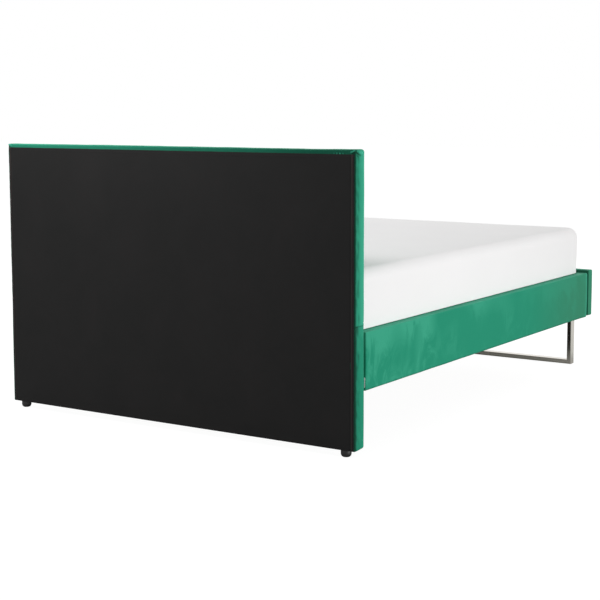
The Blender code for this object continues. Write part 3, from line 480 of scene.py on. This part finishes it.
def headboard_velvet(material):
    """Velvet pulled round the padded headboard. Above the seam its border stands prouder than below,
    and the cloth is folded in at the corners and puckered where it is stapled behind.

    A box lattice, rounded more at the front than at the back. Each point then moves along its outward
    direction: by a sine across the border, bell-shaped grooves along the seam and the folds, short
    sines near the back edge, and a slow ripple. Low down the front is 3 mm fuller, and the +X side
    2 mm."""
    low, high = (np.array(corner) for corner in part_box("headboard_cover"))
    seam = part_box("rail_cover_left")[1].z + SEAM_RISE
    folds = np.linspace(0.003, 0.036, 12)
    tucked = np.linspace(0.036, 0.096, 31)
    across_rows = [*(low[0] + folds), *(low[0] + tucked), *(high[0] - folds)]
    x_rows = rows_between(low[0], high[0], VELVET_FRONT_RADIUS, 0.010, across_rows)
    y_rows = rows_between(
        low[1], high[1], VELVET_FRONT_RADIUS, 0.003, high[1] - np.array([0.0008, 0.002, 0.0035, 0.005])
    )
    seam_rows = seam + np.linspace(-0.009, 0.009, 13)
    z_rows = rows_between(low[2], high[2], VELVET_FRONT_RADIUS, 0.010, [*(high[2] - folds), *seam_rows])
    points, quads = lattice_skin(x_rows, y_rows, z_rows)
    depth = (high[1] - points[:, 1]) / (high[1] - low[1])
    share = np.clip(depth * 1.6 - 0.3, 0, 1)[:, None]
    radii = np.repeat(VELVET_BACK_RADIUS * (1 - share) + VELVET_FRONT_RADIUS * share, 3, 1)
    points, outward = round_box(points, low, high, radii)
    from_back = high[1] - points[:, 1]
    side = np.abs(outward[:, 0])
    top = np.clip(outward[:, 2], 0, 1)
    front = np.clip(-outward[:, 1], 0, 1)
    border = np.clip(side + top, 0, 1)
    above = np.clip((points[:, 2] - seam) / 0.010 + 0.5, 0, 1)
    across = np.sin(math.pi * np.clip(depth, 0, 1))
    lift = 0.0012 * border * across + 0.0008 * side + 0.0005 * (side + front) * above
    near_end = np.clip((low[0] + 0.22 - points[:, 0]) / 0.22, 0, 1) ** 2
    far_end = np.clip((points[:, 0] - 0.25) / 0.5, 0, 1)
    lift += top * (0.0018 * near_end - 0.0012 * far_end)
    fuller = np.clip((0.5 - points[:, 2]) / 0.3, 0, 1)
    lift += fuller * (0.003 * front + 0.002 * side * (points[:, 0] > 0))
    step = side + front
    lift -= 0.0016 * hump(points[:, 2] - seam - 0.35 * (from_back - 0.03) * side, 0.0013) * step
    puckers = 0.5 * np.sin(points[:, 2] * math.tau / 0.021) + np.sin(points[:, 2] * math.tau / 0.034 + 1)
    lift += side * 0.0005 * puckers * above * hump(from_back - 0.009, 0.008)
    gathers = np.sin(points[:, 0] * math.tau / 0.027) + 0.6 * np.sin(points[:, 0] * math.tau / 0.041 + 2)
    behind = np.clip(outward[:, 1], 0, 1)
    lift += 0.0003 * gathers * behind * hump(high[2] - points[:, 2] - 0.012, 0.006)
    tucks = np.sin(points[:, 0] * math.tau / 0.012) * hump(points[:, 0] - low[0] - 0.062, 0.018)
    tucks *= behind * hump(high[2] - points[:, 2] - 0.0125, 0.003)
    lift += 0.0006 * tucks
    # Painted shade: a dark band where the side turns to the back and blotches beside it. Also the side below
    # the seam, the back and top near the back edge growing darker toward -X, and the seam's groove
    shade_toward_low_x = np.clip((0.65 - points[:, 0]) / 1.3, 0, 1)
    opened_and_shaded = 0.9 * hump(from_back, 0.009) * side
    opened_and_shaded += 0.45 * side * np.clip(ripple(points, 0.022, 17) + 0.2, 0, 1) * hump(from_back - 0.018, 0.013)
    opened_and_shaded += 0.04 * side * (1 - above) + 0.25 * side * (1 - above) * hump(from_back, 0.03)
    opened_and_shaded += (0.08 + 0.68 * shade_toward_low_x) * np.clip(behind + 0.8 * top, 0, 1) * hump(from_back, 0.03)
    opened_and_shaded -= 1.2 * np.clip(tucks, 0, 1)
    # Painted highlight on the tucks, on the front of the side above the seam and along its front edge
    raised_and_lit = 1.2 * np.clip(tucks, 0, 1) + 0.6 * above * side * np.clip(depth * 2 - 0.7, 0, 1)
    raised_and_lit += 0.35 * side * hump(depth - 0.97, 0.1)
    opened_and_shaded += 0.5 * hump(points[:, 2] - seam, 0.0022) * step
    for corner_x in (low[0], high[0]):
        inward = -np.sign(corner_x)
        corner = np.array([corner_x, high[1], high[2]])
        crease = to_segment(points, corner + [0, -0.004, -0.007], corner + [0, -0.032, -0.018])
        second = to_segment(points, corner + [0, -0.004, -0.014], corner + [0, -0.021, -0.025])
        ridge = to_segment(points, corner + [0, -0.012, -0.003], corner + [0, -0.044, -0.011])
        arch = to_segment(points, corner + [inward * 0.016, 0, -0.007], corner + [0, -0.001, -0.002])
        pocket = to_segment(points, corner + [inward * 0.008, 0, -0.012], corner + [0, -0.003, -0.008])
        lift += 0.0013 * hump(ridge, 0.0030) + 0.0012 * hump(arch, 0.0020)
        lift -= 0.0024 * hump(crease, 0.0020) + 0.0012 * hump(second, 0.0020)
        lift -= 0.0014 * hump(pocket, 0.0022)
        # Painted highlight on the folds' ridge and arch, painted shade in the creases and the pocket
        raised_and_lit += 0.6 * hump(ridge, 0.004) + 0.9 * hump(arch, 0.0022)
        opened_and_shaded += 0.95 * hump(crease, 0.0026) + 0.3 * hump(second, 0.0026) + hump(pocket, 0.003)
        opened_and_shaded -= 0.9 * hump(arch, 0.0022)
    lift += 0.0003 * ripple(points, 0.12, 3)
    piece = new_piece(
        "headboard_velvet",
        points + outward * lift[:, None],
        quads.tolist(),
        material,
        "bed_frame",
        {"opened_pile_and_shade": opened_and_shaded, "raised_pile_and_highlight": raised_and_lit},
    )
    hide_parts("headboard_cover", "headboard_foam")


def dust_cover(material):
    """Thin cloth stapled across the back, with a hem folded under at both sides.

    A flat grid that follows the velvet's corner round at its side edges, as y equals the corner's
    centre plus the square root of the radius squared minus the reach squared. It stands out by bell
    curves along each hem, scallops a little between staples, and ripples slowly."""
    low, high = (np.array(corner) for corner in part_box("headboard_dust_cover"))
    half = high[0] - HEM_SETBACK
    folds = np.linspace(0.0, 0.022, 23)
    x_rows = np.unique(np.round([*(folds - half), *np.linspace(-half, half, 90), *(half - folds)], 6))
    z_rows = np.unique(
        np.round([*(low[2] + folds), *np.linspace(low[2], high[2], 260), *(high[2] - folds)], 6)
    )
    x, z = np.meshgrid(x_rows, z_rows, indexing="ij")
    points = np.stack([x, np.full_like(x, high[1] - 0.0002), z], -1).reshape(-1, 3)
    inset = half - np.abs(points[:, 0])
    rise = np.minimum(points[:, 2] - low[2], high[2] - points[:, 2])
    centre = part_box("headboard_cover")[1].x - VELVET_BACK_RADIUS
    past = np.clip(np.abs(points[:, 0]) - centre, 0, None)
    points[:, 1] -= VELVET_BACK_RADIUS - np.sqrt(VELVET_BACK_RADIUS**2 - past**2)
    points[:, 1] += 0.0008 * hump(inset - 0.0085, 0.0014) - 0.0008 * hump(inset - 0.0145, 0.0018)
    points[:, 1] -= 0.0006 * hump(inset - 0.0035, 0.0018)
    points[:, 1] += 0.0003 * hump(rise - 0.010, 0.003)
    edge = np.clip(np.minimum(inset, rise) / 0.03, 0, 1)
    points[:, 1] += 0.0005 * ripple(points * [1, 1, 0.5], 0.3, 5) * edge
    staples = 0.5 - 0.5 * np.cos(points[:, 2] * math.tau / 0.055)
    points[:, 0] -= np.sign(points[:, 0]) * 0.0012 * staples * hump(inset, 0.002)
    quads = grid_quads(np.arange(x.size).reshape(x.shape))[:, ::-1]
    uneven = 0.7 + 0.3 * ripple(points, 0.25, 8)
    piece = new_piece(
        "dust_cover_cloth",
        points,
        quads.tolist(),
        material,
        "bed_frame",
        {"hem_ridge_line": 0.8 * hump(inset - 0.0085, 0.0017) * uneven},
    )
    wall = piece.modifiers.new("Cloth", "SOLIDIFY")
    wall.thickness = CLOTH_THICKNESS
    wall.offset = -1
    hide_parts("headboard_dust_cover")


def padded_board(name, node, foam_node, soft_axis, soft_side, material, seed):
    """Velvet round a padded board.

    A box lattice, rounded 7 mm on its padded side, 4 mm on the other and 3 mm at the ends, that swells
    by a sine of its height on the padded side, hangs a little slack below and ripples slowly. A rail
    also swells 4 mm by a bell curve near the foot end."""
    low, high = (np.array(corner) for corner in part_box(node))
    steps = [0.016 if high[axis] - low[axis] > 0.3 else 0.008 for axis in range(3)]
    rows = [rows_between(low[axis], high[axis], 0.008, steps[axis]) for axis in range(3)]
    points, quads = lattice_skin(*rows)
    share = (points[:, soft_axis] - low[soft_axis]) / (high[soft_axis] - low[soft_axis])
    softness = share if soft_side > 0 else 1 - share
    radii = np.repeat(0.004 + 0.003 * np.clip(softness * 1.8 - 0.4, 0, 1)[:, None], 3, 1)
    radii[:, 1 - soft_axis] = 0.003
    points, outward = round_box(points, low, high, radii)
    padded = np.clip(outward[:, soft_axis] * soft_side, 0, 1)
    swell = np.sin(math.pi * (points[:, 2] - low[2]) / (high[2] - low[2]))
    lift = 0.0008 * padded * swell + 0.0004 * ripple(points, 0.16, seed) * (0.4 + 0.6 * padded)
    lift += (0.0035 if soft_axis == 0 else 0.001) * np.clip(-outward[:, 2], 0, 1) * softness
    # Painted shade on the undersides, painted highlight on the top faces
    opened_and_shaded = 0.35 * np.clip(-outward[:, 2], 0, 1)
    raised_and_lit = 0.18 * np.clip(outward[:, 2] * 1.5 - 0.5, 0, 1)
    from_end = (points - low)[:, 1 - soft_axis]
    if soft_axis == 1:
        from_end = np.minimum(from_end, high[0] - points[:, 0])
        # A footboard's inner face gets painted shade near its top and ends, beside the mattress and the
        # rails
        in_the_gap = hump(high[2] - points[:, 2], 0.022) + hump(from_end, 0.016)
        opened_and_shaded += 0.75 * np.clip(outward[:, 1] * np.clip(in_the_gap, 0, 1), 0, 1)
    else:
        lift += 0.004 * padded * hump(from_end, 0.08)
    # Painted highlight near the padded side's ends: a rail's foot end and both ends of the footboard
    raised_and_lit += 0.8 * padded * hump(from_end - 0.003, 0.006)
    piece = new_piece(
        name,
        points + outward * lift[:, None],
        quads.tolist(),
        material,
        "bed_frame",
        {"opened_pile_and_shade": opened_and_shaded, "raised_pile_and_highlight": raised_and_lit},
    )
    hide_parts(node, foam_node)


# Mattress


def mattress(material):
    """A foam mattress in a smooth knitted cover. It is held between the rails and swells out over them.

    A box lattice. In plan, a point outside the box shrunk by the corner radius keeps its reach, but on
    a circle. In section the rim is rounded 45 mm at the top and 14 mm at the bottom, and below the
    rails' top the side draws in by a quarter circle. The top falls by the fourth power of the share of
    the way out, and a slow ripple covers all. Against the headboard the corners are pressed squarer."""
    low, high = (np.array(corner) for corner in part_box("mattress_cover"))
    rail_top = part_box("rail_cover_left")[1].z
    drawn_in = high[:2] - np.array(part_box("mattress_base")[1])[:2]
    low[2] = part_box("mattress_base")[0].z
    plan = 0.052
    rows = []
    for axis in range(2):
        ends = np.array([0.047, 0.050, 0.056])
        extra = [*(low[axis] + ends), *(high[axis] - ends)]
        rows.append(rows_between(low[axis], high[axis], 0.045, 0.022, extra))
    lip = rail_top + np.array([-0.004, 0, 0.0012, 0.0014, 0.0017, 0.0021, 0.0026, 0.0032, 0.005, 0.008])
    rows.append(rows_between(low[2], high[2], 0.045, 0.012, [*lip, low[2] + 0.006, low[2] + 0.013]))
    points, quads = lattice_skin(*rows)
    flat = points[:, :2]
    height = points[:, 2]
    core = np.clip(flat, low[:2] + plan, high[:2] - plan)
    away = flat - core
    reach = np.abs(away).max(1)
    direction = away / np.maximum(np.linalg.norm(away, axis=1), 1e-9)[:, None]
    share = (height - low[2]) / (high[2] - low[2])
    radius = 0.014 + 0.031 * np.clip((share - 0.25) * 2.2, 0, 1)
    core_reach = np.minimum(reach, plan - radius)
    core_height = np.clip(height, low[2] + radius, high[2] - radius)
    aside = reach - core_reach
    up = height - core_height
    scale = 1 / np.hypot(aside, up)
    outward = np.concatenate([direction * (aside * scale)[:, None], (up * scale)[:, None]], 1)
    new_reach = core_reach + aside * scale * radius
    new_height = core_height + up * scale * radius
    points = np.concatenate([core + direction * new_reach[:, None], new_height[:, None]], 1)
    middle = (low[:2] + high[:2]) / 2
    span = np.abs((flat - middle) / (high[:2] - middle)).max(1)
    flank = np.linalg.norm(outward[:, :2], axis=1)
    lift = -0.0015 * np.clip(outward[:, 2], 0, 1) * span**4
    lift += 0.0015 * flank * np.sin(math.pi * np.clip((height - rail_top) / (high[2] - rail_top), 0, 1))
    lift += 0.0009 * ripple(points, 0.45, 11)
    points += outward * lift[:, None]
    over = np.clip((new_height - rail_top - 0.0012) / 0.002, 0, 1)
    bulge = np.sqrt(1 - (1 - over) ** 2)
    points[:, :2] -= direction * (np.clip(reach / plan, 0, 1) * (1 - bulge))[:, None] * drawn_in
    points[:, 2] = np.maximum(points[:, 2], low[2])
    far, head = 9.0, high[1]
    pressed = [-far, middle[1], head - 0.4 * plan, head, far]
    points[:, 1] = np.interp(points[:, 1], [-far, middle[1], head - plan, head, far], pressed)
    piece = new_piece("mattress", points, quads.tolist(), material, "mattress")
    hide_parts("mattress_cover", "mattress_core", "mattress_base")


# Hardware


def glides(material):
    """Turned plastic feet under the headboard, rounded at the floor, with a stem into the stile."""
    profile = [
        (0.0090, 0.0),
        (0.0118, 0.0006),
        (0.0142, 0.0020),
        (0.0162, 0.0040),
        (0.0177, 0.0066),
        (0.0186, 0.0096),
        (0.0190, 0.0128),
        (0.0190, 0.0240),
        (0.0187, 0.0247),
        (0.0178, 0.0250),
        (0.0030, 0.0250),
        (0.0030, 0.0470),
    ]
    for side_name in SIDES:
        node = f"glide_{side_name}"
        low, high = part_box(node)
        place = Matrix.Translation(((low.x + high.x) / 2, (low.y + high.y) / 2, 0))
        piece = turned_part(f"foot_{side_name}", profile, [place], material, "bed_frame", 48)
        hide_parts(node)


def screw_heads(name, places, material):
    """Button-headed screws with a hexagon socket, driven home at each place."""
    profile = [
        (0.0042, -0.0002),
        (0.0046, 0.0004),
        (0.0045, 0.0010),
        (0.0038, 0.0018),
        (0.0027, 0.0023),
        (0.0016, 0.0024),
        (0.0014, 0.0022),
        (0.0014, 0.0010),
    ]
    turned_part(name, profile, places, material, "bed_frame", 24, (5, 6, 7))


def frame_screws(zinc, coat):
    """Screws through the corner angles into the rails, through the leg's plates, and through the
    stirrups that hold the centre beam."""
    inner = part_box("rail_cover_right")[0].x
    faces = {"head": (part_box("headboard_cover")[0].y, -1), "foot": (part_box("footboard_cover")[1].y, 1)}
    places = []
    for end, (face, facing) in faces.items():
        low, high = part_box(f"corner_bracket_{end}_left")
        middle = (low.z + high.z) / 2
        for side in SIDES.values():
            for rise in (-BRACKET_SCREW_RISE, BRACKET_SCREW_RISE):
                along = face + facing * BRACKET_SCREW_REACH
                point = (side * (inner - STEEL_WALL), along, middle + rise)
                places.append(aimed(point, (-side, 0, 0)))
    for side_name in SIDES:
        low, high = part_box(f"sled_plate_{side_name}")
        for share in (0.14, 0.86):
            point = ((low.x + high.x) / 2, low.y + share * (high.y - low.y), low.z)
            places.append(aimed(point, (0, 0, -1)))
    screw_heads("angle_screws", places, zinc)
    places = []
    for end, (face, facing) in faces.items():
        low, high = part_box(f"beam_hanger_{end}")
        for side in SIDES.values():
            across = side * (high.x - HANGER_SCREW_INSET)
            point = (across, face + facing * STEEL_WALL, (low.z + high.z) / 2)
            places.append(aimed(point, (0, facing, 0)))
    screw_heads("stirrup_screws", places, coat)


def dress_solids(finishes):
    """Give each rigid solid that stays its finish: the first one whose start its name has."""
    for name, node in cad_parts.items():
        for start, material in finishes.items():
            if name.startswith(start):
                for slot in node.material_slots:
                    slot.material = material
                break


# Floor, light and camera


def pale_floor():
    """A white floor. Light falls on it as on plain paper, and the camera sees it white, with the bed's faint
    shadow. Polished steel shows its full shadow darkened by a painted shadow, deepest under the middle of
    the bed and fading out between 0.6 m and 1.6 m from it."""
    mesh = bpy.data.meshes.new("floor")
    turns = [(-1, -1), (1, -1), (1, 1), (-1, 1)]
    corners = [(x * FLOOR_REACH, y * FLOOR_REACH, -FLOOR_DROP) for x, y in turns]
    mesh.from_pydata(corners, [], [(0, 1, 2, 3)])
    floor = add_to_scene("floor", mesh)
    material = bpy.data.materials.new("white_paper")
    material.use_nodes = True
    tree = material.node_tree
    plain = add_node(tree, "BsdfDiffuse", {"Color": linear("#A8A8A8")})
    faint = add_node(tree, "BsdfDiffuse", {"Color": linear("#6A6A6A")})
    glow = add_node(tree, "Emission", {"Strength": 0.96})
    white = add_node(tree, "AddShader", {0: faint, 1: glow})
    place = add_node(tree, "TexCoord", {}, "Object")
    # Painted shadow for polished rays: darker under the bed, from 0.6 m to 1.6 m from its middle
    outside = add_node(tree, "VectorMath", {0: place}, "Value", operation="LENGTH")
    outside = add_node(tree, "MapRange", {"Value": outside, "From Min": 0.6, "From Max": 1.6})
    shade = add_node(
        tree, "Mix", {0: outside, 6: linear("#6A6A6A"), 7: linear("#FFFFFF")}, 2, data_type="RGBA"
    )
    mirrored = add_node(tree, "BsdfDiffuse", {"Color": shade})
    glossy = add_node(tree, "LightPath", {}, "Is Glossy Ray")
    clear = add_node(tree, "LightPath", {}, "Is Transmission Ray")
    polished = add_node(tree, "Math", {0: glossy, 1: clear}, operation="MAXIMUM")
    shown = add_node(tree, "MixShader", {0: polished, 1: plain, 2: mirrored})
    direct = add_node(tree, "LightPath", {}, "Is Camera Ray")
    surface = add_node(tree, "MixShader", {0: direct, 1: shown, 2: white})
    plug(tree.nodes["Material Output"], {"Surface": surface})
    mesh.materials.append(material)


def white_backdrop(level):
    """An even sky of the level given, which the camera and polished surfaces see as white."""
    world = bpy.data.worlds.new("studio")
    bpy.context.scene.world = world
    world.use_nodes = True
    tree = world.node_tree
    direct = add_node(tree, "LightPath", {}, "Is Camera Ray")
    glossy = add_node(tree, "LightPath", {}, "Is Glossy Ray")
    clear = add_node(tree, "LightPath", {}, "Is Transmission Ray")
    polished = add_node(tree, "Math", {0: glossy, 1: clear}, operation="MAXIMUM")
    shown = add_node(tree, "Math", {0: direct, 1: polished}, operation="MAXIMUM")
    strength = add_node(tree, "MapRange", {"Value": shown, "To Min": level, "To Max": 1.0})
    plug(tree.nodes["Background"], {"Color": linear("#FFFFFF"), "Strength": strength})


def softbox(name, place, target, width, height, power):
    """A rectangle of light that faces a point."""
    light = bpy.data.lights.new(name, "AREA")
    light.shape = "RECTANGLE"
    light.size = width
    light.size_y = height
    light.energy = power
    lamp = add_to_scene(name, light)
    lamp.matrix_world = aimed(place, Vector(place) - Vector(target))


def place_camera():
    """A camera at its place, turned by its heading, dip and roll."""
    lens = bpy.data.cameras.new("camera")
    lens.lens = CAMERA_LENS
    lens.sensor_width = SENSOR_WIDTH
    lens.shift_y = CAMERA_SHIFT
    lens.clip_end = 200.0
    viewer = add_to_scene("camera", lens)
    heading = Matrix.Rotation(CAMERA_HEADING, 4, "Z")
    dip = Matrix.Rotation(math.pi / 2 - CAMERA_DIP, 4, "X")
    roll = Matrix.Rotation(CAMERA_ROLL, 4, "Z")
    viewer.matrix_world = Matrix.Translation(CAMERA_PLACE) @ heading @ dip @ roll
    bpy.context.scene.camera = viewer


def build_looks():
    """Make every soft piece and fastener, and give the rigid solids their finishes."""
    headboard_velvet(cut_velvet("cut_velvet_headboard", (3.1, 0.4, 1.7), 2.0, 3.0, 5.0, 0.45))
    dust_cover(spunbond_cloth())
    for seed, (side_name, side) in enumerate(SIDES.items(), start=20):
        velvet = cut_velvet(f"cut_velvet_rail_{side_name}", (2.6 + side * 1.3, 6.2, 3.9), -0.4, 0.45, 0.68)
        rail = f"rail_cover_{side_name}"
        foam = f"rail_foam_{side_name}"
        padded_board(f"rail_velvet_{side_name}", rail, foam, 0, side, velvet, seed)
    footboard = cut_velvet("cut_velvet_footboard", (0.7, 2.2, 5.1), 2.0, 3.0, 5.0, 0.45)
    padded_board("footboard_velvet", "footboard_cover", "footboard_foam", 1, -1, footboard, 30)
    mattress(knitted_jersey())
    plastic = moulded_plastic()
    coat = powder_coat()
    zinc = zinc_plate()
    glides(plastic)
    frame_screws(zinc, coat)
    steel_across = brushed_steel("brushed_stainless_across", (0.015, 1, 1))
    pine_across = planed_wood("planed_pine_across", (0.04, 1, 1), "#DDBD8C", "#BE9461")
    dress_solids(
        {
            "sled_upright": brushed_steel("brushed_stainless_upright", (1, 1, 0.015)),
            "sled": steel_across,
            "headboard_stile": planed_wood("planed_pine_upright", (1, 1, 0.04), "#DDBD8C", "#BE9461"),
            "headboard_panel": planed_wood("rotary_cut_plywood", (1, 1, 0.1), "#CFAD7E", "#B58C5A"),
            "headboard": pine_across,
            "footboard": pine_across,
            "rail": planed_wood("planed_pine_along", (1, 0.04, 1), "#DDBD8C", "#BE9461"),
            "slat_ledge": zinc,
            "slat_batten": plastic,
            "slat": planed_wood("planed_birch_slat", (0.04, 1, 1), "#E0C9A0", "#C8A878"),
            "corner": zinc,
            "centre": coat,
            "beam": coat,
            "levelling": plastic,
        }
    )


place_camera()
pale_floor()
white_backdrop(SKY_LEVEL)
softbox("left_light", (-5.3, 0.5, 0.35), (-0.8, 0.0, 0.45), 3.0, 0.6, 138)
softbox("right_light", (5.0, 0.2, 2.5), (0.8, 0.0, 0.3), 3.0, 1.0, 80)
softbox("foot_light", (1.2, -5.2, 2.5), (0.2, -1.0, 0.3), 3.0, 1.0, 80)
softbox("back_light", (0.5, 1.7, 1.9), (0.4, 1.1, 1.0), 1.6, 0.5, 13)
softbox("top_light", (0.3, -0.6, 4.5), (0, -0.3, 0.5), 4.0, 4.0, 24)
bpy.context.scene.view_settings.view_transform = "Standard"
build_looks()
